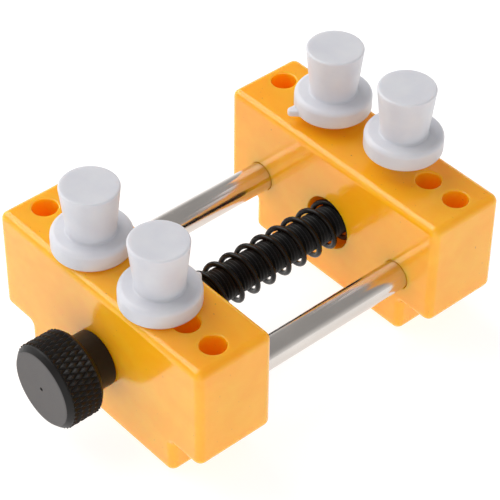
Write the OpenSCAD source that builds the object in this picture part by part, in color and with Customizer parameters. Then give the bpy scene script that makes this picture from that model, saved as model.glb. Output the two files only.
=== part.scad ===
// Small sprung vise that holds a watch movement between four lift-out pegs.
// +X runs along the jaws, +Y from the knob towards the sliding jaw, +Z up.
// The origin is at the middle of the base, level with the jaws' feet.

/* [Jaws] */
// Length of each jaw block
jaw_w = 58; // [54:0.5:66]
// Thickness of each jaw block
jaw_t = 17.2; // [16.5:0.1:20]
// Height of the block above its foot
block_h = 23.2; // [22:0.1:28]
// Height of the narrower foot
foot_h = 7.8; // [5:0.1:9]
// How far the foot is set in at each end
foot_inset = 7.8; // [4:0.1:9]
// Clear distance between the jaws when fully open
jaw_gap = 40.2; // [39.5:0.1:46]
// Rounding of the block's edges
block_round = 1.6; // [1:0.1:2.2]
// Rounding of the foot's edges
foot_round = 1.6; // [0.8:0.1:2]

/* [Peg holes] */
// Diameter of a peg hole
hole_d = 5; // [4.6:0.1:5.4]
// Depth of a peg hole
hole_depth = 11; // [10.6:0.1:11.8]
// Distance from the jaw's outer face to the row of holes
hole_row = 7.3; // [6.5:0.1:8.5]
// Distance from the middle of the jaw to the innermost hole
hole_first = 9.8; // [9:0.1:10.4]
// Spacing of the holes
hole_pitch = 7.2; // [6.6:0.1:7.6]
// Chamfer at the mouth of a hole
hole_chamfer = 0.3; // [0.1:0.1:0.5]

/* [Guide rods] */
// Diameter of a guide rod
rod_d = 6; // [5:0.1:6.4]
// Distance of each rod from the middle
rod_x = 19.5; // [18:0.1:21]
// Height of the rods above the base
rod_h = 14.3; // [13.5:0.1:15]
// Depth of the blind socket that holds a rod
rod_socket = 13; // [10:0.5:14]
// Radial clearance of the rod in the sliding jaw
rod_clearance = 0.06; // [0.02:0.01:0.1]

/* [Lead screw] */
// Height of the screw above the base
screw_h = 14.6; // [14:0.1:15]
// Outer diameter of the screw
screw_d = 7; // [6.4:0.1:7.2]
// Radial clearance of the screw in its bearing and its nut
screw_clearance = 0.08; // [0.02:0.01:0.1]
// Length of screw that stands out behind the nut's jaw
screw_tail = 1.5; // [0.5:0.5:3]
// Width of the nut across its flats
nut_flats = 11; // [10:0.1:11.4]
// Thickness of the nut
nut_t = 5; // [4:0.1:5]

/* [Spring] */
// Outer diameter of the spring
spring_d = 9.8; // [9.8:0.1:10.4]
// Diameter of the spring wire
wire_d = 1.1; // [0.9:0.05:1.15]
// Number of open coils
open_coils = 14; // [12:1:16]
// Diameter of the spring's pocket in each jaw
pocket_d = 11.4; // [11.2:0.1:12]
// Depth of the pocket in the knob's jaw
pocket_front = 10.5; // [9:0.1:11]
// Depth of the pocket in the sliding jaw
pocket_rear = 8.5; // [7:0.1:8.5]

/* [Knob] */
// Diameter of the gripped part of the knob
knob_d = 17.4; // [15:0.1:19]
// Length of the gripped part
knob_len = 8.4; // [6:0.1:9]
// Chamfer at both ends of the gripped part
knob_chamfer = 1.2; // [0.6:0.1:1.6]
// Diameter of the smooth collar
collar_d = 11.4; // [10:0.1:12.5]
// Length of the smooth collar
collar_len = 4.5; // [4:0.1:7]
// Depth to which the screw is pressed into the knob
knob_bore = 9; // [7:0.5:10]

/* [Pegs] */
// Diameter of a peg's flange
flange_d = 15.4; // [13:0.1:16]
// Thickness of the flange
flange_t = 4.2; // [3.4:0.1:4.6]
// Diameter of the head where it meets the flange
head_base_d = 9.2; // [8:0.1:9.6]
// Diameter of the flat top of the head
head_top_d = 11.4; // [10:0.1:12]
// Height of the head's top above the flange's underside
head_h = 14.5; // [12:0.5:18]
// Diameter of the shank
shank_d = 4.9; // [4.5:0.1:4.9]
// Length of the shank
shank_len = 10; // [8:0.5:10.5]
// How far the rear left peg stands out of its seat
lift_rear_left = 1.8; // [0:0.1:4]
// How far the rear right peg stands out of its seat
lift_rear_right = 3.5; // [0:0.1:4]

/* [Hidden] */
$fn = 96;
eps = 0.01;              // overlap that joins two solids or opens a cut
fit_gap = 0.01;          // radial gap of a pressed piece in its seat
face_gap = 0.05;         // gap between the collar and the jaw that it bears on
rod_end = 0.4;           // rods stop this far inside the sliding jaw's back
end_chamfer = 0.5;       // chamfer on the rods' and the screw's ends
nut_sink = 0.4;          // the nut sits this far below the jaw's back
nut_recess = nut_t + nut_sink;
nut_corners = nut_flats / cos(30);
nut_chamfer = 0.6;
pass_gap = 0.6;          // extra width of the sliding jaw's hole for the screw

jaw_h = block_h + foot_h;
closed_coils = 1;        // coils at each end of the spring that lie against each other
spring_r = (spring_d - wire_d) / 2;
spring_play = spring_r - (wire_d + screw_d) / 2;
spring_sag = spring_play / 3;   // the spring hangs a little below the screw's middle
spring_len = jaw_gap + pocket_front + pocket_rear;
coil_run = spring_len - wire_d - 2 * closed_coils * wire_d;
spring_phase = 282;      // angle at which the wire starts
wire_sides = 8;
steps_per_coil = 18;
ring_sides = 48;         // facets round a flange edge's section

edge_soft = 0.9;         // rounding of the flange's lower edge
edge_top = 1.1;          // rounding of the flange's upper edge
head_round = 0.3;        // rounding of the head's rim
gate_w = 4.4;            // width of the moulding gate tab where it leaves the flange
gate_tip = 0.8;          // radius of the tab's tip
gate_reach = 1.7;        // how far the tab stands out of the flange
gate_h = 1.4;            // the tab's thickness
gate_low = 0.1;          // the tab's underside above the flange's underside
gate_root = 1.6;         // how far the tab runs into the flange
shank_tip = 0.5;         // chamfer at the shank's end

// The whole length is centred on the origin.
knob_total = knob_len + collar_len + face_gap;
jaws_len = 2 * jaw_t + jaw_gap;
front_y = (knob_total - jaws_len - screw_tail) / 2;   // outer face of the knob's jaw
front_in = front_y + jaw_t;                           // its inner face
rear_in = front_in + jaw_gap;                         // inner face of the sliding jaw
rear_y = rear_in + jaw_t;                             // its outer face

// A rod, bore or disc along +Y that starts at y.
module along_y(y, d, len, x = 0, z = screw_h, sides = $fn) {
    translate([x, y, z]) rotate([-90, 0, 0]) cylinder(d = d, h = len, $fn = sides);
}

// A cone along +Y that goes from diameter d1 at y to d2.
module cone_y(y, d1, d2, len, x = 0, z = screw_h) {
    translate([x, y, z]) rotate([-90, 0, 0]) cylinder(d1 = d1, d2 = d2, h = len);
}

// A round bar along +Y with both ends chamfered.
module bar_y(y, d, len, x = 0, z = screw_h) {
    c = end_chamfer;
    cone_y(y, d - 2 * c, d, c, x, z);
    along_y(y + c, d, len - 2 * c, x, z);
    cone_y(y + len - c, d, d - 2 * c, c, x, z);
}

// A rectangle with round corners, centred on the origin.
module round_rect(w, h, r) {
    square([w - 2 * r, h], center = true);
    square([w, h - 2 * r], center = true);
    for (sx = [-1, 1], sy = [-1, 1])
        translate([sx * (w / 2 - r), sy * (h / 2 - r)]) circle(r);
}

// A block with every edge rounded: what three rounded bars at right angles share.
module round_block(w, t, h, r) {
    intersection() {
        linear_extrude(h, center = true) round_rect(w, t, r);
        rotate([90, 0, 0]) linear_extrude(t, center = true) round_rect(w, h, r);
        rotate([90, 0, 90]) linear_extrude(w, center = true) round_rect(t, h, r);
    }
}

// The jaw's outer shape: the block on its foot, from y to y + jaw_t.
module jaw_shape(y) {
    foot_up = foot_h + 2 * block_round;
    translate([0, y + jaw_t / 2, 0]) {
        translate([0, 0, foot_h + block_h / 2]) round_block(jaw_w, jaw_t, block_h, block_round);
        translate([0, 0, foot_up / 2])
            round_block(jaw_w - 2 * foot_inset, jaw_t, foot_up, foot_round);
    }
}

// The row of six blind peg holes, in two groups of three.
module peg_holes(y) {
    for (side = [-1, 1], i = [0:2])
        translate([side * (hole_first + i * hole_pitch), y, jaw_h]) {
            translate([0, 0, -hole_depth]) cylinder(d = hole_d, h = hole_depth + eps);
            translate([0, 0, -hole_chamfer])
                cylinder(d1 = hole_d, d2 = hole_d + 2 * hole_chamfer, h = hole_chamfer + eps);
        }
}

module front_jaw() {
    color("orange") difference() {
        jaw_shape(front_y);
        peg_holes(front_y + hole_row);
        for (side = [-1, 1])
            along_y(front_in - rod_socket, rod_d + 2 * fit_gap, rod_socket + eps, side * rod_x, rod_h);
        along_y(front_y - eps, screw_d + 2 * screw_clearance, jaw_t + 2 * eps);
        along_y(front_in - pocket_front, pocket_d, pocket_front + eps);
    }
}

module rear_jaw() {
    color("orange") difference() {
        jaw_shape(rear_in);
        peg_holes(rear_y - hole_row);
        for (side = [-1, 1])
            along_y(rear_in - eps, rod_d + 2 * rod_clearance, jaw_t + 2 * eps, side * rod_x, rod_h);
        along_y(rear_in - eps, screw_d + pass_gap, jaw_t + 2 * eps);
        along_y(rear_in - eps, pocket_d, pocket_rear + eps);
        along_y(rear_y - nut_recess, nut_corners + 2 * fit_gap, nut_recess + eps, sides = 6);
    }
}

module guide_rod(side) {
    color("silver")
        bar_y(front_in - rod_socket, rod_d, rod_socket + jaw_gap + jaw_t - rod_end, side * rod_x, rod_h);
}

module lead_screw() {
    start = front_y - face_gap - knob_bore;
    color("dimgray") bar_y(start, screw_d, rear_y + screw_tail - start);
}

module knob() {
    back = front_y - face_gap;
    start = back - collar_len - knob_len;
    c = knob_chamfer;
    color("black") difference() {
        union() {
            cone_y(start, knob_d - 2 * c, knob_d, c);
            along_y(start + c, knob_d, knob_len - 2 * c);
            cone_y(start + knob_len - c, knob_d, knob_d - 2 * c, c);
            along_y(start + knob_len - eps, collar_d, collar_len + eps);
        }
        along_y(back - knob_bore, screw_d + 2 * fit_gap, knob_bore + eps);
    }
}

// Distance along the spring after a number of coils: close at the ends, open between.
function spring_y(turn) =
    let (total = open_coils + 2 * closed_coils, open_pitch = coil_run / open_coils)
    turn < closed_coils ? turn * wire_d
    : turn > total - closed_coils ? spring_len - wire_d - (total - turn) * wire_d
    : closed_coils * wire_d + (turn - closed_coils) * open_pitch;

// A point on the wire's skin, at a step along the coil and an angle round the wire.
function wire_point(turn, around) =
    let (a = spring_phase - 360 * turn, r = spring_r + wire_d / 2 * cos(around))
    [r * cos(a), spring_y(turn) + wire_d / 2 * (1 + sin(around)), r * sin(a)];

module spring() {
    steps = (open_coils + 2 * closed_coils) * steps_per_coil;
    n = wire_sides;
    skin = [for (i = [0:steps], k = [0:n - 1]) wire_point(i / steps_per_coil, 360 * k / n)];
    sides = [
        for (i = [0:steps - 1], k = [0:n - 1])
        let (a = i * n + k, b = i * n + (k + 1) % n)
        [a, b, b + n, a + n]
    ];
    caps = [[for (k = [n - 1:-1:0]) k], [for (k = [0:n - 1]) steps * n + k]];
    color("black") translate([0, front_in - pocket_front, screw_h - spring_sag])
        polyhedron(points = skin, faces = concat(sides, caps));
}

module jaw_nut() {
    start = rear_y - nut_recess;
    c = nut_chamfer;
    wide = nut_corners;
    color("silver") difference() {
        intersection() {
            along_y(start, nut_corners, nut_t, sides = 6);
            union() {
                along_y(start, wide + eps, nut_t - c);
                cone_y(start + nut_t - c, wide + eps, wide - 2 * c, c);
            }
        }
        along_y(start - eps, screw_d + 2 * screw_clearance, nut_t + 2 * eps);
    }
}

// A ring with a round section, whose middle circle has radius r.
module ring(r, section) {
    rotate_extrude() translate([r, 0]) circle(section, $fn = ring_sides);
}

// A peg with its flange's underside at z = 0 and its gate tab towards an angle.
module peg(gate_angle) {
    r = flange_d / 2;
    tip = shank_tip;
    tip_x = r + gate_reach - gate_tip;
    cylinder(r = r - edge_soft, h = flange_t / 2);
    translate([0, 0, edge_soft]) ring(r - edge_soft, edge_soft);
    translate([0, 0, edge_soft]) cylinder(r = r, h = flange_t - edge_soft - edge_top);
    translate([0, 0, flange_t - edge_top]) ring(r - edge_top, edge_top);
    translate([0, 0, edge_soft]) cylinder(r = r - edge_top, h = flange_t - edge_soft);
    translate([0, 0, flange_t - eps])
        cylinder(d1 = head_base_d, d2 = head_top_d, h = head_h - flange_t - head_round + eps);
    translate([0, 0, head_h - head_round]) cylinder(d1 = head_top_d,
        d2 = head_top_d - 2 * head_round, h = head_round);
    translate([0, 0, tip - shank_len]) cylinder(d = shank_d, h = shank_len - tip + eps);
    translate([0, 0, -shank_len]) cylinder(d1 = shank_d - 2 * tip, d2 = shank_d, h = tip);
    rotate([0, 0, gate_angle]) {
        translate([0, 0, gate_low]) linear_extrude(gate_h) polygon([
            [r - gate_root, -gate_w / 2], [tip_x, -gate_tip], [tip_x, gate_tip], [r - gate_root, gate_w / 2]
        ]);
        translate([tip_x, 0, gate_low]) cylinder(r = gate_tip, h = gate_h);
    }
}

// A peg in the innermost hole on one side of a jaw's row.
module peg_at(side, y, lift, gate_angle) {
    color("white") translate([side * hole_first, y, jaw_h + lift]) peg(gate_angle);
}

module peg_front_left() {
    peg_at(-1, front_y + hole_row, 0, 130);
}

module peg_front_right() {
    peg_at(1, front_y + hole_row, 0, 90);
}

module peg_rear_left() {
    peg_at(-1, rear_y - hole_row, lift_rear_left, -113);
}

module peg_rear_right() {
    peg_at(1, rear_y - hole_row, lift_rear_right, 140);
}

front_jaw();
rear_jaw();
guide_rod(-1);  // guide_rod_left
guide_rod(1);  // guide_rod_right
lead_screw();
knob();
spring();
jaw_nut();
peg_front_left();
peg_front_right();
peg_rear_left();
peg_rear_right();
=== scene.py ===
"""Looks of a small sprung vise that holds a watch movement between four lift-out pegs.

Every mesh is built in metres in the CAD frame: +X along the jaws, +Y from the knob to the
sliding jaw, +Z up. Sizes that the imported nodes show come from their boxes, and the others
are named below in millimetres.
"""

import math

import bmesh
import bpy
from mathutils import Matrix, Vector


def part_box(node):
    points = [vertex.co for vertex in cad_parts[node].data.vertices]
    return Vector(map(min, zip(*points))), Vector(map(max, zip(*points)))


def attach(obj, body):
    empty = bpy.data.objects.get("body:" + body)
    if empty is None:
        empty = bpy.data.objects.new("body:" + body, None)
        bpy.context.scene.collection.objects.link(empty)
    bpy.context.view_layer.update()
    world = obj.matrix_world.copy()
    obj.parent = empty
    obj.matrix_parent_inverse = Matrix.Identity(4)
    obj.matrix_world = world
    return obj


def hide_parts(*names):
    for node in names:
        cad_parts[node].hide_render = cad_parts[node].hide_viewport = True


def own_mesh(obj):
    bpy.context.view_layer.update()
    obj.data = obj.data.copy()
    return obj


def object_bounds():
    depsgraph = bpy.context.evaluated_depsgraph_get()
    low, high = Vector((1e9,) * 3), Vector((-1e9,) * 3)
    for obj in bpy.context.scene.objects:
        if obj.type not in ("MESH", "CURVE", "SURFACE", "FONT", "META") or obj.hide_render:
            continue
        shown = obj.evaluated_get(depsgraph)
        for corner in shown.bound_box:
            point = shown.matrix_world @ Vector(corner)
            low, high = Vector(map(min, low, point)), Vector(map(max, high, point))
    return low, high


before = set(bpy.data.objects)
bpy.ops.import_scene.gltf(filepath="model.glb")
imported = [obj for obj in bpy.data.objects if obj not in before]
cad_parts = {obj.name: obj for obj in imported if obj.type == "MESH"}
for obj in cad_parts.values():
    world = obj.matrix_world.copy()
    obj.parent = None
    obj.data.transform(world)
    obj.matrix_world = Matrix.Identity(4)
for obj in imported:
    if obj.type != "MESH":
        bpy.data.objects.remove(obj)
CAD_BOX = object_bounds()

MM = 0.001
TAU = 2 * math.pi


def box_mm(node):
    """Lowest and highest corner of a CAD node, in millimetres."""
    low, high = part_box(node)
    return low / MM, high / MM


# ---------------------------------------------------------------- sizes, in millimetres
FRONT_LOW, FRONT_HIGH = box_mm("front_jaw")
REAR_LOW, REAR_HIGH = box_mm("rear_jaw")
JAW_TOP = FRONT_HIGH.z
HALF_W = FRONT_HIGH.x
FRONT_Y, FRONT_IN = FRONT_LOW.y, FRONT_HIGH.y
REAR_IN, REAR_Y = REAR_LOW.y, REAR_HIGH.y
ROD_LOW, ROD_HIGH = box_mm("guide_rod_right")
ROD_X = (ROD_LOW.x + ROD_HIGH.x) / 2
ROD_R = (ROD_HIGH.x - ROD_LOW.x) / 2
ROD_Z = (ROD_LOW.z + ROD_HIGH.z) / 2
SCREW_LOW, SCREW_HIGH = box_mm("lead_screw")
SCREW_R = (SCREW_HIGH.x - SCREW_LOW.x) / 2
AXIS_Z = (SCREW_LOW.z + SCREW_HIGH.z) / 2
KNOB_LOW, KNOB_HIGH = box_mm("knob")
KNOB_R = (KNOB_HIGH.x - KNOB_LOW.x) / 2
NUT_LOW, NUT_HIGH = box_mm("jaw_nut")
SPRING_LOW, SPRING_HIGH = box_mm("spring")
SPRING_Z = (SPRING_LOW.z + SPRING_HIGH.z) / 2

FOOT_H = 7.8            # height of the foot below the block
FOOT_INSET = 7.8        # how far the foot is set in at each end
EDGE_R = 1.6            # rounding of the jaws' edges
CORNER_R = 1.7          # rounding of the corners seen from the knob
INNER_R = 0.5           # fillet between the block and its foot
HOLE_R = 2.5
HOLE_DEPTH = 11.0
HOLE_ROW = 7.3          # from the jaw's outer face to the row of holes
HOLE_FIRST = 9.8        # from the middle to the innermost hole
HOLE_PITCH = 7.2
HOLE_LIP = 0.34         # rounding of a hole's mouth
ROD_SOCKET = 13.0
SLIDE_GAP = 0.06        # radial play of the sliding jaw on its rods
POCKET_R = 5.7          # spring pocket in both jaws
POCKET_FRONT = 10.5
POCKET_REAR = 8.5
BEARING_R = 3.58        # the screw's bearing in the knob's jaw
NUT_FLATS = 11.0
NUT_RECESS = 5.4

SPRING_R = 4.35         # radius of the wire's centre line
WIRE_R = 0.55
OPEN_COILS = 14
CLOSED_COILS = 1
SPRING_PHASE = math.radians(282)

THREAD_PITCH = 0.8
THREAD_DEPTH = 0.54 * THREAD_PITCH
THREAD_FLAT = 0.13      # share of a thread's flank that is flat at the crest and the root
KNOB_LEN = 8.4
COLLAR_R = 5.7
KNOB_CHAMFER = 1.2
KNURL_DEPTH = 0.38

FLANGE_R = 7.7
FLANGE_T = 4.2
HEAD_BASE_R = 4.6
HEAD_TOP_R = 5.7
HEAD_H = 14.5
SHANK_R = 2.45
SHANK_LEN = 10.0
SEAT_GAP = 0.02         # a seated flange is this far above its jaw
GATE_W = 4.4            # width of the gate tab where it leaves the flange
GATE_TIP = 0.8
GATE_REACH = 1.7
GATE_ROOT = 1.6
GATE_LOW, GATE_TOP = 0.1, 1.5


# ---------------------------------------------------------------- mesh helpers
def add_object(name, mesh):
    """A new object in the scene's own collection."""
    obj = bpy.data.objects.new(name, mesh)
    bpy.context.scene.collection.objects.link(obj)
    return obj


def mesh_from(name, verts, faces, unit=MM):
    """A mesh object from points in millimetres."""
    mesh = bpy.data.meshes.new(name)
    mesh.from_pydata([Vector(v) * unit for v in verts], [], faces)
    mesh.validate()
    obj = add_object(name, mesh)
    bm = bmesh.new()
    bm.from_mesh(mesh)
    bmesh.ops.remove_doubles(bm, verts=bm.verts, dist=1e-4 * MM)
    bmesh.ops.dissolve_degenerate(bm, edges=bm.edges, dist=1e-5 * MM)
    bmesh.ops.recalc_face_normals(bm, faces=bm.faces)
    bm.to_mesh(mesh)
    bm.free()
    return obj


def arc(cx, cy, r, start, end, steps):
    """Points of an arc from start to end, in degrees."""
    out = []
    for i in range(steps + 1):
        a = math.radians(start + (end - start) * i / steps)
        out.append((cx + r * math.cos(a), cy + r * math.sin(a)))
    return out


def rounded(path, steps=6):
    """A path of (r, h, rounding) with each corner replaced by its arc."""
    out = []
    for i, (r, h, rad) in enumerate(path):
        here = Vector((r, h))
        if rad <= 0 or i in (0, len(path) - 1):
            out.append((r, h))
            continue
        back = (Vector(path[i - 1][:2]) - here).normalized()
        on = (Vector(path[i + 1][:2]) - here).normalized()
        half = math.acos(max(-1, min(1, back.dot(on)))) / 2
        reach = rad / math.tan(half)
        centre = here + (back + on).normalized() * (rad / math.sin(half))
        p, q = here + back * reach - centre, here + on * reach - centre
        sweep = math.atan2(p.x * q.y - p.y * q.x, p.dot(q))
        for k in range(steps + 1):
            a = sweep * k / steps
            turned = Matrix.Rotation(a, 2) @ p
            out.append((centre.x + turned.x, centre.y + turned.y))
    return out


def lathe(name, profile, origin, along="Z", sides=64):
    """A solid turned from a profile of (radius, height) round an axis through origin."""
    verts, rings = [], []
    for r, h in profile:
        if r < 1e-6:
            rings.append([len(verts)])
            verts.append((0, 0, h))
            continue
        rings.append(list(range(len(verts), len(verts) + sides)))
        for k in range(sides):
            a = TAU * k / sides
            verts.append((r * math.cos(a), r * math.sin(a), h))
    faces = []
    for lower, upper in zip(rings, rings[1:]):
        for k in range(sides):
            j = (k + 1) % sides
            if len(lower) == 1 and len(upper) == 1:
                continue
            if len(lower) == 1:
                faces.append((lower[0], upper[j], upper[k]))
            elif len(upper) == 1:
                faces.append((lower[k], lower[j], upper[0]))
            else:
                faces.append((lower[k], lower[j], upper[j], upper[k]))
    turn = {"Z": lambda v: v, "Y": lambda v: (v[0], v[2], -v[1])}[along]
    o = Vector(origin)
    return mesh_from(name, [Vector(turn(v)) + o for v in verts], faces)


def boolean(obj, cutters, operation):
    """Joins or cuts other solids into obj, and removes them."""
    for cutter in cutters:
        mod = obj.modifiers.new("cut", "BOOLEAN")
        mod.operation = operation
        mod.solver = "EXACT"
        mod.object = cutter
        bake(obj)
        mesh = cutter.data
        bpy.data.objects.remove(cutter)
        bpy.data.meshes.remove(mesh)
    return obj


def bake(obj):
    """Turns obj's modifiers into its mesh."""
    graph = bpy.context.evaluated_depsgraph_get()
    mesh = bpy.data.meshes.new_from_object(obj.evaluated_get(graph), depsgraph=graph)
    old, mesh.name = obj.data, obj.name
    obj.modifiers.clear()
    obj.data = mesh
    bpy.data.meshes.remove(old)


def smooth(obj, angle=35):
    """Smooth shading that keeps flat faces flat and edges over the angle crisp."""
    mesh = obj.data
    mesh.shade_smooth()
    mesh.set_sharp_from_angle(angle=math.radians(angle))
    mod = obj.modifiers.new("weights", "WEIGHTED_NORMAL")
    mod.keep_sharp = True
    mod.weight = 60
    bake(obj)
    return obj


def dress(obj, node, body, slot, *materials):
    """Makes obj stand for a CAD node, on its body, with its materials."""
    obj.data.materials.clear()
    for material in materials:
        obj.data.materials.append(material)
    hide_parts(node)
    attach(obj, body)
    return obj


# ---------------------------------------------------------------- material helpers
class Shader:
    """A material's node tree, with its Principled shader and object coordinates in mm."""

    def __init__(self, name):
        self.material = bpy.data.materials.new(name)
        self.material.use_nodes = True
        self.tree = self.material.node_tree
        self.tree.nodes.clear()
        self.out = self.add("ShaderNodeOutputMaterial")
        self.bsdf = self.add("ShaderNodeBsdfPrincipled")
        self.link(self.bsdf.outputs[0], self.out.inputs[0])
        coords = self.add("ShaderNodeTexCoord")
        self.place = self.vector("SCALE", coords.outputs["Object"], scale=1 / MM)
        self.normal = None

    def add(self, kind, **settings):
        node = self.tree.nodes.new(kind)
        for key, value in settings.items():
            setattr(node, key, value)
        return node

    def link(self, a, b):
        self.tree.links.new(a, b)

    def set(self, **values):
        """Constants on the shader's own sockets."""
        for key, value in values.items():
            self.bsdf.inputs[key.replace("_", " ")].default_value = value

    def vector(self, operation, a, b=None, scale=1.0):
        node = self.add("ShaderNodeVectorMath", operation=operation)
        self.link(a, node.inputs[0])
        if b is not None:
            self.put(b, node.inputs[1])
        if operation == "SCALE":
            node.inputs["Scale"].default_value = scale
        return node.outputs[1 if operation in ("LENGTH", "DOT_PRODUCT", "DISTANCE") else 0]

    def put(self, value, socket):
        """Links a socket, or sets a constant."""
        if isinstance(value, bpy.types.NodeSocket):
            self.link(value, socket)
        else:
            socket.default_value = value

    def math(self, operation, a, b=0.0, c=0.0):
        node = self.add("ShaderNodeMath", operation=operation)
        for value, socket in zip((a, b, c), node.inputs):
            self.put(value, socket)
        return node.outputs[0]

    def parts(self):
        """The object's x, y and z, each as a socket."""
        node = self.add("ShaderNodeSeparateXYZ")
        self.link(self.place, node.inputs[0])
        return node.outputs

    def from_axis(self):
        """Distance from the screw's axis, in millimetres."""
        x, _, z = self.parts()
        up = self.math("SUBTRACT", z, AXIS_Z)
        return self.math("SQRT", self.math("ADD", self.math("POWER", x, 2.0),
                                           self.math("POWER", up, 2.0)))

    def stretched(self, x, y, z):
        """Coordinates multiplied axis by axis."""
        return self.vector("MULTIPLY", self.place, (x, y, z))

    def noise(self, scale, detail=2.0, rough=0.5, place=None, distortion=0.0):
        """Noise with scale features to the millimetre."""
        node = self.add("ShaderNodeTexNoise")
        self.link(place or self.place, node.inputs["Vector"])
        node.inputs["Scale"].default_value = scale
        node.inputs["Detail"].default_value = detail
        node.inputs["Roughness"].default_value = rough
        node.inputs["Distortion"].default_value = distortion
        return node.outputs["Fac"]

    def span(self, value, low, high, to_low=0.0, to_high=1.0):
        """Maps low..high of value to a new range, clamped."""
        node = self.add("ShaderNodeMapRange")
        self.put(value, node.inputs["Value"])
        for key, v in zip(("From Min", "From Max", "To Min", "To Max"),
                          (low, high, to_low, to_high)):
            node.inputs[key].default_value = v
        return node.outputs["Result"]

    def mix(self, factor, a, b):
        node = self.add("ShaderNodeMix", data_type="RGBA")
        self.put(factor, node.inputs["Factor"])
        sockets = [s for s in node.inputs if s.type == "RGBA"]
        for value, socket in zip((a, b), sockets):
            self.put(value if isinstance(value, bpy.types.NodeSocket) else (*value, 1), socket)
        return [s for s in node.outputs if s.type == "RGBA"][0]

    def bump(self, height, strength, depth):
        """Adds a bump of depth millimetres on top of those before it."""
        node = self.add("ShaderNodeBump")
        node.inputs["Strength"].default_value = strength
        node.inputs["Distance"].default_value = depth * MM
        self.link(height, node.inputs["Height"])
        if self.normal:
            self.link(self.normal, node.inputs["Normal"])
        self.normal = node.outputs[0]
        self.link(self.normal, self.bsdf.inputs["Normal"])


# ---------------------------------------------------------------- materials
def jaw_material():
    """Glossy orange-yellow moulded plastic: warm depth and a faint painted red-orange glow, faint
    flow marks, fine scuffs.
    """
    s = Shader("jaw_plastic")
    s.set(IOR=1.5, Subsurface_Weight=1.0, Subsurface_Scale=0.005, Coat_Weight=0.24,
          Coat_Roughness=0.05, Coat_IOR=1.5)
    s.bsdf.inputs["Subsurface Radius"].default_value = (1.0, 0.55, 0.05)
    # Painted glow: a faint red-orange emission that stands in for light carried through the
    # plastic, so the holes and shaded faces glow
    s.bsdf.inputs["Emission Color"].default_value = (1.0, 0.22, 0.0, 1)
    s.set(Emission_Strength=0.08)
    flow = s.noise(0.05, detail=3, rough=0.55, place=s.stretched(1.0, 1.6, 2.2), distortion=0.6)
    clouds = s.noise(0.35, detail=4)
    tone = s.mix(s.span(flow, 0.35, 0.65), (0.93, 0.430, 0.009), (0.95, 0.485, 0.018))
    tone = s.mix(s.span(clouds, 0.4, 0.7, 0.0, 0.35), tone, (0.91, 0.392, 0.007))
    specks = s.noise(1.7, detail=1, rough=0.4)
    tone = s.mix(s.span(specks, 0.775, 0.80, 0.0, 0.55), tone, (0.30, 0.13, 0.03))
    s.link(tone, s.bsdf.inputs["Base Color"])
    scuffs = s.noise(2.4, detail=5, rough=0.7, place=s.stretched(0.25, 1.0, 1.0))
    s.link(s.span(scuffs, 0.35, 0.75, 0.12, 0.26), s.bsdf.inputs["Roughness"])
    s.bump(s.noise(0.10, detail=2), 0.45, 0.10)
    s.bump(s.noise(9.0, detail=3, rough=0.6), 0.12, 0.006)
    return s.material


def peg_material():
    """Satin white plastic that lets a little light in."""
    s = Shader("peg_plastic")
    s.set(IOR=1.49, Subsurface_Weight=0.45, Subsurface_Scale=0.0016)
    s.bsdf.inputs["Subsurface Radius"].default_value = (1.0, 0.85, 0.8)
    clouds = s.noise(0.22, detail=3)
    tone = s.mix(s.span(clouds, 0.35, 0.7), (0.665, 0.665, 0.71), (0.71, 0.71, 0.74))
    s.link(tone, s.bsdf.inputs["Base Color"])
    streaks = s.noise(1.4, detail=4, rough=0.6, place=s.stretched(1, 1, 0.12))
    s.link(s.span(streaks, 0.3, 0.75, 0.30, 0.46), s.bsdf.inputs["Roughness"])
    s.bump(streaks, 0.2, 0.02)
    s.bump(s.noise(7.0, detail=3, rough=0.6), 0.25, 0.01)
    return s.material


def rod_material():
    """Bright plating with drawn lines round the rod and a few rubbed streaks along it."""
    s = Shader("rod_plating")
    s.set(Metallic=1.0)
    film = s.noise(0.12, detail=3, place=s.stretched(1, 0.4, 1))
    tone = s.mix(s.span(film, 0.35, 0.7), (0.66, 0.615, 0.575), (0.75, 0.705, 0.665))
    s.link(tone, s.bsdf.inputs["Base Color"])
    rubs = s.noise(3.0, detail=4, rough=0.65, place=s.stretched(1, 0.05, 1))
    s.link(s.span(rubs, 0.35, 0.8, 0.10, 0.30), s.bsdf.inputs["Roughness"])
    s.bump(s.noise(12.0, detail=2, place=s.stretched(0.12, 1, 0.12)), 0.10, 0.004)
    s.bump(rubs, 0.12, 0.004)
    return s.material


def spring_material():
    """Black-coated spring wire: glossy, with draw lines and thin rubbed patches."""
    s = Shader("spring_wire")
    s.set(IOR=1.30)
    rub = s.noise(1.1, detail=5, rough=0.7)
    tone = s.mix(s.span(rub, 0.62, 0.78, 0.0, 0.6), (0.004, 0.0036, 0.0034), (0.014, 0.012, 0.011))
    s.link(tone, s.bsdf.inputs["Base Color"])
    s.link(s.span(rub, 0.3, 0.75, 0.16, 0.34), s.bsdf.inputs["Roughness"])
    s.bump(s.noise(5.0, detail=3), 0.12, 0.01)
    return s.material


def screw_material():
    """Oiled black steel thread, a little brighter where the crests rub."""
    s = Shader("black_steel")
    s.set(IOR=1.28)
    rub = s.noise(1.6, detail=4, rough=0.7)
    r = s.from_axis()
    crest = s.math("MULTIPLY", s.span(r, SCREW_R - 0.12, SCREW_R), s.span(rub, 0.4, 0.7))
    tone = s.mix(crest, (0.005, 0.0045, 0.0042), (0.022, 0.020, 0.018))
    s.link(tone, s.bsdf.inputs["Base Color"])
    s.link(s.math("MULTIPLY", crest, 0.4), s.bsdf.inputs["Metallic"])
    s.link(s.span(rub, 0.3, 0.75, 0.28, 0.5), s.bsdf.inputs["Roughness"])
    s.bump(s.noise(6.0, detail=3), 0.2, 0.01)
    return s.material


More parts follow.
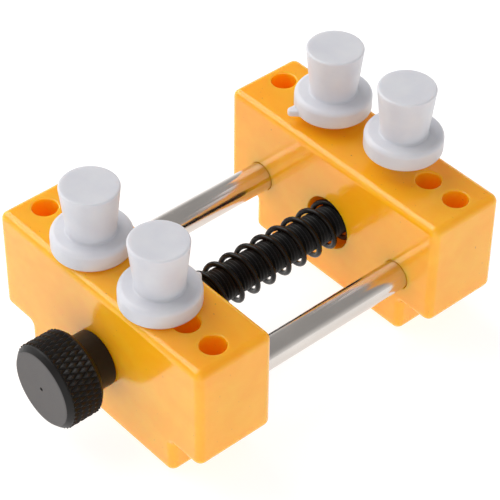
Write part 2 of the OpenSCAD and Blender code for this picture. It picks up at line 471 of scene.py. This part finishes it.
def knob_face_material():
    """Turned, blacked steel end face: satin grey with faint rings."""
    s = Shader("knob_face")
    s.set(Metallic=1.0)
    r = s.from_axis()
    wander = s.math("ADD", s.math("MULTIPLY", r, 1.0), s.math("MULTIPLY", s.noise(0.2), 0.15))
    rings = s.add("ShaderNodeTexNoise", noise_dimensions="1D")
    s.link(wander, rings.inputs["W"])
    rings.inputs["Scale"].default_value = 5.0
    rings.inputs["Detail"].default_value = 5.0
    rings.inputs["Roughness"].default_value = 0.75
    lines = rings.outputs["Fac"]
    clouds = s.noise(0.3, detail=4)
    tone = s.mix(s.span(lines, 0.3, 0.7), (0.098, 0.092, 0.091), (0.128, 0.120, 0.117))
    tone = s.mix(s.span(clouds, 0.45, 0.75, 0.0, 0.4), tone, (0.092, 0.086, 0.088))
    s.link(tone, s.bsdf.inputs["Base Color"])
    s.link(s.span(lines, 0.3, 0.7, 0.36, 0.50), s.bsdf.inputs["Roughness"])
    s.bump(lines, 0.35, 0.012)
    s.bump(s.noise(6.0, detail=4, rough=0.7), 0.15, 0.006)
    return s.material


def knob_side_material():
    """Blacked steel on the knurl and the collar, polished a little on the tips."""
    s = Shader("knob_steel")
    s.set(IOR=1.32)
    r = s.from_axis()
    rub = s.noise(0.9, detail=4, rough=0.7)
    tips = s.math("MULTIPLY", s.span(r, KNOB_R - 0.12, KNOB_R - 0.01), s.span(rub, 0.3, 0.7))
    tone = s.mix(tips, (0.009, 0.0078, 0.0072), (0.030, 0.026, 0.024))
    s.link(tone, s.bsdf.inputs["Base Color"])
    s.link(s.math("MULTIPLY", tips, 0.5), s.bsdf.inputs["Metallic"])
    s.link(s.span(rub, 0.3, 0.75, 0.34, 0.50), s.bsdf.inputs["Roughness"])
    s.bump(s.noise(5.0, detail=4, rough=0.65), 0.2, 0.01)
    return s.material


def nut_material():
    """Zinc-plated nut with brushed faces and dull spots."""
    s = Shader("nut_steel")
    s.set(Metallic=1.0)
    spots = s.noise(0.6, detail=4)
    tone = s.mix(s.span(spots, 0.4, 0.7), (0.58, 0.57, 0.55), (0.44, 0.42, 0.38))
    s.link(tone, s.bsdf.inputs["Base Color"])
    grain = s.noise(4.0, detail=3, place=s.stretched(0.15, 1, 1))
    s.link(s.span(grain, 0.3, 0.7, 0.24, 0.42), s.bsdf.inputs["Roughness"])
    s.bump(grain, 0.25, 0.01)
    return s.material


def floor_material():
    """Plain white sweep."""
    s = Shader("floor_white")
    s.set(Roughness=0.9)
    s.bsdf.inputs["Specular IOR Level"].default_value = 0.0
    s.bsdf.inputs["Base Color"].default_value = (0.40, 0.40, 0.40, 1)
    s.set(Emission_Strength=0.80)
    s.bsdf.inputs["Emission Color"].default_value = (1, 1, 1, 1)
    return s.material


# ---------------------------------------------------------------- jaws
def jaw_outline():
    """Corners of the jaw seen from the knob: (centre x, centre z, radius, start, end, bulge)."""
    foot = HALF_W - FOOT_INSET
    c, i = CORNER_R, INNER_R
    half = [
        (foot - c, c, c, -90, 0, 1),
        (foot + i, FOOT_H - i, i, 180, 90, -1),
        (HALF_W - c, FOOT_H + c, c, -90, 0, 1),
        (HALF_W - c, JAW_TOP - c, c, 0, 90, 1),
    ]
    mirrored = [(-x, z, r, 180 - b, 180 - a, s) for x, z, r, a, b, s in reversed(half)]
    return half + mirrored


def jaw_ring(inset, steps=5):
    """The outline moved inwards by a distance."""
    out = []
    for x, z, r, start, end, bulge in jaw_outline():
        out += arc(x, z, r - bulge * inset, start, end, steps)
    return out


def jaw_shell(name, y0, y1, steps=6):
    """The block on its foot with all its edges rounded."""
    rims = []
    for k in range(steps + 1):
        a = math.pi / 2 * k / steps
        rims.append((EDGE_R * (1 - math.sin(a)), EDGE_R * (1 - math.cos(a))))
    rims.reverse()
    rows = [(y0 + dy, inset) for dy, inset in rims] + [(y1 - dy, i) for dy, i in reversed(rims)]
    verts, faces = [], []
    for y, inset in rows:
        verts += [(x, y, z) for x, z in jaw_ring(inset)]
    n = len(verts) // len(rows)
    for r in range(len(rows) - 1):
        for k in range(n):
            j = (k + 1) % n
            faces.append((r * n + k, r * n + j, (r + 1) * n + j, (r + 1) * n + k))
    faces.append(tuple(range(n - 1, -1, -1)))
    faces.append(tuple(range((len(rows) - 1) * n, len(rows) * n)))
    return mesh_from(name, verts, faces)


def lipped(r, depth, lip, floor_round=0.4, through=False):
    """Profile of a cutter for a hole with a rounded mouth: heights below 0 go inwards."""
    mouth = [(r + lip - lip * math.cos(math.radians(a)), -lip + lip * math.sin(math.radians(a)))
             for a in (80, 65, 50, 35, 20, 8, 0)]
    path = [(0, 1.0), (mouth[0][0], 1.0)] + mouth
    if through:
        return path + [(r, -depth), (0, -depth)]
    tail = rounded([(r, -lip, 0), (r, -depth, floor_round), (0, -depth, 0)])
    return path + tail[1:]


def hole_cutter(name, origin, facing, profile, sides=48):
    """A lathed cutter whose mouth lies at origin: facing is Z, Y or -Y."""
    if facing == "Z":
        return lathe(name, profile, origin, "Z", sides)
    sign = 1 if facing == "Y" else -1
    return lathe(name, [(r, sign * h) for r, h in profile], origin, "Y", sides)


def hex_cutter(name, y, depth, flats):
    """A hexagonal prism along Y that stands out of y by one millimetre."""
    r = flats / 2 / math.cos(math.pi / 6)
    return lathe(name, [(0, -depth), (r, -depth), (r, 1), (0, 1)], (0, y, AXIS_Z), "Y", 6)


def jaw(name, y0, y1, row_y, cutters):
    """A jaw block with its row of peg holes and the given cutters taken out."""
    obj = jaw_shell(name, y0, y1)
    for side in (-1, 1):
        for i in range(3):
            x = side * (HOLE_FIRST + i * HOLE_PITCH)
            cutters.append(hole_cutter("hole", (x, row_y, JAW_TOP), "Z",
                                       lipped(HOLE_R, HOLE_DEPTH, HOLE_LIP)))
    boolean(obj, cutters, "DIFFERENCE")
    return smooth(obj, 38)


def front_jaw():
    """The knob's jaw: blind rod sockets, the spring's pocket and the screw's bearing."""
    cutters = [
        hole_cutter("socket", (s * ROD_X, FRONT_IN, ROD_Z), "Y",
                    lipped(ROD_R + 0.02, ROD_SOCKET, 0.15)) for s in (-1, 1)
    ]
    cutters.append(hole_cutter("pocket", (0, FRONT_IN, AXIS_Z), "Y",
                               lipped(POCKET_R, POCKET_FRONT, 0.3)))
    cutters.append(hole_cutter("bearing", (0, FRONT_Y, AXIS_Z), "-Y",
                               lipped(BEARING_R, FRONT_IN - FRONT_Y - POCKET_FRONT + 1, 0.3,
                                      through=True)))
    return jaw("front_jaw_moulding", FRONT_Y, FRONT_IN, FRONT_Y + HOLE_ROW, cutters)


def rear_jaw():
    """The sliding jaw: rod bores right through, the spring's pocket and the nut's recess."""
    depth = REAR_Y - REAR_IN
    cutters = []
    for s in (-1, 1):
        for y, facing in ((REAR_IN, "-Y"), (REAR_Y, "Y")):
            cutters.append(hole_cutter("slide", (s * ROD_X, y, ROD_Z), facing,
                                       lipped(ROD_R + SLIDE_GAP, depth / 2 + 0.5, 0.25,
                                              through=True)))
    cutters.append(hole_cutter("pocket", (0, REAR_IN, AXIS_Z), "-Y",
                               lipped(POCKET_R, POCKET_REAR, 0.3)))
    cutters.append(hole_cutter("pass", (0, REAR_IN, AXIS_Z), "-Y",
                               lipped(SCREW_R + 0.3, depth - 1, 0.1, through=True)))
    cutters.append(hex_cutter("recess", REAR_Y, NUT_RECESS, NUT_FLATS + 0.06))
    return jaw("rear_jaw_moulding", REAR_IN, REAR_Y, REAR_Y - HOLE_ROW, cutters)


# ---------------------------------------------------------------- metal parts
def guide_rod(name, side):
    """A plain bar with rounded ends, on one side of the screw."""
    length = ROD_HIGH.y - ROD_LOW.y
    path = rounded([(0, 0, 0), (ROD_R, 0, 0.55), (ROD_R, length, 0.55), (0, length, 0)], 5)
    obj = lathe(name, path, (side * ROD_X, ROD_LOW.y, ROD_Z), "Y", 72)
    return smooth(obj, 60)


def thread_radius(turns):
    """Radius at a place along the thread, in turns: a 60 degree form with soft crests."""
    rise = abs(2 * (turns % 1.0) - 1)
    lift = min(1, max(0, (rise - THREAD_FLAT) / (1 - 2 * THREAD_FLAT)))
    soft = 0.35
    lift = lift * lift * (3 - 2 * lift) * soft + lift * (1 - soft)
    return SCREW_R - THREAD_DEPTH * (1 - lift)


def lead_screw():
    """A threaded bar: the grid is sheared along the helix, so crests follow its rows."""
    sides, per_pitch = 40, 8
    y0, y1 = SCREW_LOW.y, SCREW_HIGH.y
    thread_from = FRONT_IN - POCKET_FRONT + 0.5
    chamfer = 0.6
    step = THREAD_PITCH / per_pitch
    rows = int((y1 - thread_from) / step) + 2 * per_pitch
    verts, faces = [], []
    for i in range(rows + 1):
        for k in range(sides):
            a = TAU * k / sides
            y = thread_from + (i - per_pitch) * step + THREAD_PITCH * k / sides
            y_in = min(max(y, thread_from), y1)
            r = thread_radius(i / per_pitch)
            r = min(r, SCREW_R - chamfer + (y1 - y_in))
            if y <= thread_from:
                r = SCREW_R - THREAD_DEPTH
            verts.append((r * math.sin(a), y_in, AXIS_Z + r * math.cos(a)))
    for i in range(rows):
        for k in range(sides):
            here, up = i * sides + k, (i + 1) * sides + k
            if k + 1 < sides:
                faces.append((here, here + 1, up + 1, up))
            elif i + per_pitch + 1 <= rows:
                over = (i + per_pitch) * sides
                faces.append((here, over, over + sides, up))
    obj = mesh_from("lead_screw_thread", verts, faces)
    close_ends(obj)
    shank = lathe("shank", rounded([(0, 0, 0), (SCREW_R, 0, 0.4),
                                    (SCREW_R, thread_from - y0 + 0.2, 0.2),
                                    (0, thread_from - y0 + 0.2, 0)], 3),
                  (0, y0, AXIS_Z), "Y", sides)
    boolean(obj, [shank], "UNION")
    return smooth(obj, 50)


def close_ends(obj):
    """Fills the open loops of a mesh."""
    bm = bmesh.new()
    bm.from_mesh(obj.data)
    bmesh.ops.remove_doubles(bm, verts=bm.verts, dist=1e-3 * MM)
    bmesh.ops.dissolve_degenerate(bm, edges=bm.edges, dist=1e-4 * MM)
    bmesh.ops.holes_fill(bm, edges=[e for e in bm.edges if e.is_boundary], sides=0)
    bmesh.ops.recalc_face_normals(bm, faces=bm.faces)
    bm.to_mesh(obj.data)
    bm.free()


def knurl_depth(around, along):
    """Depth below the tips of a diamond knurl, from two crossed families of grooves."""
    def groove(t):
        t = t % 1.0
        return abs(2 * t - 1)
    tip = min(groove(around + along), groove(around - along))
    return KNURL_DEPTH * (1 - min(1, tip * 1.25)) ** 0.85


def knob():
    """The knob turned from a bar, with a diamond knurl between its chamfers."""
    count, fine = 44, 10        # diamonds round the knob, and steps across one
    row_len = 3.0               # a diamond's length along the knob
    front = KNOB_LOW.y
    knurl_from, knurl_to = KNOB_CHAMFER, KNOB_LEN - KNOB_CHAMFER
    sides = count * fine
    rows = int(round((knurl_to - knurl_from) / row_len * fine))
    smooth_r = KNOB_R - 0.26
    rings = []

    def ring(y, radius):
        rings.append((y, radius))

    dish, face_r, soft = 0.05, 6.9, 0.3
    for y, r in ((0.28, 0.12), (0.12, 0.34), (dish, 0.42)):     # the centre punch
        ring(y, lambda a, r=r: r)
    for r in (1.2, 2.6, 4.2, 5.8, face_r):                      # the hollow end face
        ring(dish * (1 - (r / 7.2) ** 2), lambda a, r=r: r)
    for r, y in rounded([(face_r, 0, 0), (KNOB_R - KNOB_CHAMFER, 0, soft),
                         (smooth_r - 0.02, KNOB_CHAMFER - 0.02 - soft, soft),
                         (smooth_r, KNOB_CHAMFER - 0.02, 0)], 3):
        ring(y, lambda a, r=r: r)
    for i in range(rows + 1):
        y = knurl_from + (knurl_to - knurl_from) * i / rows
        along = i / fine
        ring(y, lambda a, along=along: KNOB_R - knurl_depth(a, along))
    for r, y in rounded([(smooth_r, KNOB_LEN - KNOB_CHAMFER + 0.02, 0),
                         (smooth_r - 0.02, KNOB_LEN - KNOB_CHAMFER + 0.02 + soft, soft),
                         (KNOB_R - KNOB_CHAMFER, KNOB_LEN, soft),
                         (COLLAR_R, KNOB_LEN, 0.35),
                         (COLLAR_R, KNOB_HIGH.y - front, 0.35),
                         (SCREW_R + 0.05, KNOB_HIGH.y - front, 0)], 4):
        ring(y, lambda a, r=r: r)
    ring(KNOB_HIGH.y - front - 1.0, lambda a: SCREW_R + 0.02)
    verts, faces = [], []
    for y, radius in rings:
        for k in range(sides):
            a = TAU * k / sides
            r = radius(k / fine)
            verts.append((r * math.sin(a), front + y, AXIS_Z + r * math.cos(a)))
    for i in range(len(rings) - 1):
        for k in range(sides):
            j = (k + 1) % sides
            a, b, c, d = i * sides + k, i * sides + j, (i + 1) * sides + j, (i + 1) * sides + k
            if (i + k) % 2:
                faces += [(a, b, c), (a, c, d)]
            else:
                faces += [(a, b, d), (b, c, d)]
    faces.append(tuple(range(sides)))
    faces.append(tuple(range((len(rings) - 1) * sides, len(rings) * sides)))
    return smooth(mesh_from("knob_knurled", verts, faces), 32)


def mark_knob_face(obj):
    """Gives the turned end face the second material."""
    edge = (KNOB_LOW.y + 0.06) * MM
    for poly in obj.data.polygons:
        if poly.center.y < edge:
            poly.material_index = 1


def spring_turn_y(turn, length):
    """Distance along the spring, close at the ends and open between, with a soft change."""
    total = OPEN_COILS + 2 * CLOSED_COILS
    closed = 2 * WIRE_R
    run = length - closed - 2 * CLOSED_COILS * closed
    pitch = run / OPEN_COILS
    if turn > total / 2:
        return length - closed - spring_turn_y(total - turn, length)
    ease = 0.5
    if turn < CLOSED_COILS - ease:
        return turn * closed
    if turn > CLOSED_COILS + ease:
        return CLOSED_COILS * closed + (turn - CLOSED_COILS) * pitch
    t = (turn - CLOSED_COILS + ease) / (2 * ease)
    low = (CLOSED_COILS - ease) * closed
    return low + 2 * ease * (closed * t + (pitch - closed) * t * t / 2)


def spring():
    """Round wire swept along the helix, with ground ends."""
    sides, per_coil = 14, 40
    start = FRONT_IN - POCKET_FRONT
    length = REAR_IN + POCKET_REAR - start
    turns = OPEN_COILS + 2 * CLOSED_COILS
    steps = turns * per_coil
    path = []
    for i in range(steps + 1):
        turn = i / per_coil
        a = SPRING_PHASE - TAU * turn
        y = start + WIRE_R + spring_turn_y(turn, length)
        path.append(Vector((SPRING_R * math.cos(a), y, SPRING_Z + SPRING_R * math.sin(a))))
    verts, faces = [], []
    for i, p in enumerate(path):
        ahead = (path[min(i + 1, steps)] - path[max(i - 1, 0)]).normalized()
        out = Vector((p.x, 0, p.z - SPRING_Z)).normalized()
        side = ahead.cross(out).normalized()
        out = side.cross(ahead)
        for k in range(sides):
            b = TAU * k / sides
            verts.append(p + WIRE_R * (out * math.cos(b) + side * math.sin(b)))
    for i in range(steps):
        for k in range(sides):
            j = (k + 1) % sides
            faces.append((i * sides + k, i * sides + j, (i + 1) * sides + j, (i + 1) * sides + k))
    faces.append(tuple(range(sides - 1, -1, -1)))
    faces.append(tuple(range(steps * sides, (steps + 1) * sides)))
    obj = mesh_from("spring_wire", verts, faces)
    trim_spring(obj, start, start + length)
    return smooth(obj, 60)


def trim_spring(obj, low, high):
    """Keeps the ground ends flush with the pockets' floors."""
    for v in obj.data.vertices:
        v.co.y = min(max(v.co.y, low * MM), high * MM)


def jaw_nut():
    """A hex nut with its corners turned down and its bore countersunk at both ends."""
    y, t = NUT_LOW.y, NUT_HIGH.y - NUT_LOW.y
    r = NUT_FLATS / 2 / math.cos(math.pi / 6)
    face_r, past, slope = NUT_FLATS / 2 - 0.2, r + 0.15, 0.9
    bore_r, mouth_r, sink = SCREW_R + 0.06, SCREW_R + 0.5, 0.45
    obj = lathe("jaw_nut_hex", [(0, 0), (r, 0), (r, t), (0, t)], (0, y, AXIS_Z), "Y", 6)
    dome = [(0, 0, 0), (face_r, 0, 0.2), (past, slope, 0),
            (past, t - slope, 0), (face_r, t, 0.2), (0, t, 0)]
    boolean(obj, [lathe("dome", rounded(dome, 3), (0, y, AXIS_Z), "Y", 64)], "INTERSECT")
    bore = [(0, -1), (mouth_r, -1), (mouth_r, -0.001), (bore_r, sink),
            (bore_r, t - sink), (mouth_r, t + 0.001), (mouth_r, t + 1), (0, t + 1)]
    boolean(obj, [lathe("bore", bore, (0, y, AXIS_Z), "Y", 48)], "DIFFERENCE")
    return smooth(obj, 25)


# ---------------------------------------------------------------- pegs
def peg(name, node, gate_angle):
    """A peg at its CAD node's place, with its moulding gate towards an angle."""
    low, high = box_mm(node)
    side = 1 if high.x > 0 and low.x > 0 else -1
    x = side * HOLE_FIRST
    y = FRONT_Y + HOLE_ROW if high.y < 0 else REAR_Y - HOLE_ROW
    z = high.z - HEAD_H
    dish = 0.12
    path = rounded([
        (0, -SHANK_LEN, 0), (SHANK_R, -SHANK_LEN, 0.6), (SHANK_R, SEAT_GAP, 0.25),
        (FLANGE_R, SEAT_GAP, 0.9), (FLANGE_R, FLANGE_T, 1.1), (HEAD_BASE_R, FLANGE_T, 0.4),
        (HEAD_TOP_R, HEAD_H, 0.38), (HEAD_TOP_R - 1.0, HEAD_H, 0), (0, HEAD_H - dish, 0)], 6)
    obj = lathe(name, path, (x, y, z), "Z", 96)
    gate = gate_tab(Vector((x, y, z)), math.radians(gate_angle))
    boolean(obj, [gate], "UNION")
    return smooth(obj, 40)


def gate_outline(inset):
    """The tab seen from above: wide where it leaves the flange, round at its tip."""
    root_x = FLANGE_R - GATE_ROOT
    tip_x = FLANGE_R + GATE_REACH - GATE_TIP
    steps = 6
    edge = []
    for i in range(steps):
        t = i / steps
        half = GATE_TIP + (GATE_W / 2 - GATE_TIP) * (1 - t) ** 1.3
        edge.append((root_x + (tip_x - root_x) * t, half - inset))
    tip = arc(tip_x, 0, GATE_TIP - inset, -80, 80, 8)
    return [(x, -y) for x, y in edge] + tip + list(reversed(edge))


def gate_tab(origin, angle):
    """A small tongue left where the plastic flowed into the mould."""
    soft = 0.3
    levels = [(GATE_LOW, 0.25), (GATE_LOW + 0.08, 0.08), (GATE_LOW + 0.25, 0)]
    levels += [(GATE_TOP - soft + dz, soft - dr) for dr, dz in arc(0, 0, soft, 0, 90, 4)]
    verts, faces = [], []
    for z, inset in levels:
        for x, y in gate_outline(inset):
            verts.append(origin + Matrix.Rotation(angle, 3, "Z") @ Vector((x, y, z)))
    n = len(verts) // len(levels)
    for i in range(len(levels) - 1):
        for k in range(n):
            j = (k + 1) % n
            faces.append((i * n + k, i * n + j, (i + 1) * n + j, (i + 1) * n + k))
    faces.append(tuple(range(n - 1, -1, -1)))
    faces.append(tuple(range((len(levels) - 1) * n, len(levels) * n)))
    return mesh_from("gate", verts, faces)


# ---------------------------------------------------------------- scene
def build_object():
    """Every piece, in its material, on the body that carries it."""
    plastic, white, chrome = jaw_material(), peg_material(), rod_material()
    dress(front_jaw(), "front_jaw", "front", "jaw_plastic", plastic)
    dress(rear_jaw(), "rear_jaw", "rear", "jaw_plastic", plastic)
    dress(guide_rod("guide_rod_bar_left", -1), "guide_rod_left", "front", "rod_plating", chrome)
    dress(guide_rod("guide_rod_bar_right", 1), "guide_rod_right", "front", "rod_plating", chrome)
    dress(lead_screw(), "lead_screw", "screw", "black_steel", screw_material())
    grip = dress(knob(), "knob", "screw", "knob_steel", knob_side_material(),
                 knob_face_material())
    mark_knob_face(grip)
    coil = dress(spring(), "spring", "front", "spring_wire", spring_material())
    dress(jaw_nut(), "jaw_nut", "rear", "nut_steel", nut_material())
    for name, angle in (("front_left", 130), ("front_right", 90),
                        ("rear_left", -113), ("rear_right", 140)):
        node = "peg_" + name
        dress(peg("peg_turned_" + name, node, angle), node, node, "peg_plastic", white)
    squeeze_spring(coil)


def squeeze_spring(coil):
    """Gives the spring its own copy of its mesh."""
    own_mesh(coil)


CAMERA_TARGET = Vector((-3.486, 8.744, 15.0))
CAMERA_DISTANCE = 405.53
CAMERA_AZIMUTH = math.radians(48.316)
CAMERA_ELEVATION = math.radians(41.821)
CAMERA_ROLL = math.radians(-0.68)
CAMERA_LENS = 150.27

HORIZON_LIGHT, OVERHEAD_LIGHT = 0.84, 0.38
KEY_PLACE, KEY_SIZE, KEY_POWER = (-1.2, -0.35, 1.3), 1.8, 27.0
FILL_PLACE, FILL_SIZE, FILL_POWER = (1.1, -1.30, 0.9), 1.6, 5.5


def add_camera():
    """The photograph's view: a long lens from the right, above the knob."""
    flat = math.cos(CAMERA_ELEVATION)
    forward = Vector((-math.sin(CAMERA_AZIMUTH) * flat, math.cos(CAMERA_AZIMUTH) * flat,
                      -math.sin(CAMERA_ELEVATION)))
    right = forward.cross(Vector((0, 0, 1))).normalized()
    up = right.cross(forward)
    up = up * math.cos(CAMERA_ROLL) + right * math.sin(CAMERA_ROLL)
    right = forward.cross(up)
    data = bpy.data.cameras.new("camera")
    data.lens = CAMERA_LENS
    data.sensor_width = 36.0
    data.clip_end = 20
    cam = bpy.data.objects.new("camera", data)
    bpy.context.scene.collection.objects.link(cam)
    pose = Matrix((right, up, -forward)).transposed().to_4x4()
    pose.translation = (CAMERA_TARGET - forward * CAMERA_DISTANCE) * MM
    cam.matrix_world = pose
    bpy.context.scene.camera = cam


def add_area(name, place, size, power):
    """A soft square light at a place in metres, aimed at the object."""
    data = bpy.data.lights.new(name, "AREA")
    data.shape = "SQUARE"
    data.size = size
    data.energy = power
    obj = bpy.data.objects.new(name, data)
    bpy.context.scene.collection.objects.link(obj)
    obj.location = place
    aim = Vector((0, 0, 0.02)) - Vector(place)
    obj.rotation_euler = aim.to_track_quat("-Z", "Y").to_euler()
    return obj


def add_world():
    """Soft white surroundings that are dimmer overhead."""
    world = bpy.data.worlds.new("studio")
    bpy.context.scene.world = world
    world.use_nodes = True
    tree = world.node_tree
    coords = tree.nodes.new("ShaderNodeTexCoord")
    split = tree.nodes.new("ShaderNodeSeparateXYZ")
    ramp = tree.nodes.new("ShaderNodeMapRange")
    ramp.inputs["From Min"].default_value = 0.0
    ramp.inputs["From Max"].default_value = 0.5
    ramp.inputs["To Min"].default_value = HORIZON_LIGHT
    ramp.inputs["To Max"].default_value = OVERHEAD_LIGHT
    tree.links.new(coords.outputs["Generated"], split.inputs[0])
    tree.links.new(split.outputs[2], ramp.inputs["Value"])
    tree.links.new(ramp.outputs["Result"], tree.nodes["Background"].inputs["Strength"])
    tree.nodes["Background"].inputs["Color"].default_value = (1.0, 1.0, 1.0, 1)


def add_floor():
    """The white sweep that the feet stand on."""
    half = 3.0
    mesh = bpy.data.meshes.new("floor")
    mesh.from_pydata([(-half, -half, 0), (half, -half, 0), (half, half, 0), (-half, half, 0)],
                     [], [(0, 1, 2, 3)])
    floor = add_object("floor", mesh)
    floor.data.materials.append(floor_material())
    floor.location.z = CAD_BOX[0][2]


def add_studio():
    """Soft lights, floor and the photograph's camera."""
    add_world()
    add_floor()
    add_area("key", KEY_PLACE, KEY_SIZE, KEY_POWER)
    add_area("fill", FILL_PLACE, FILL_SIZE, FILL_POWER)
    add_camera()
    bpy.context.scene.view_settings.view_transform = "Standard"


build_object()
add_studio()
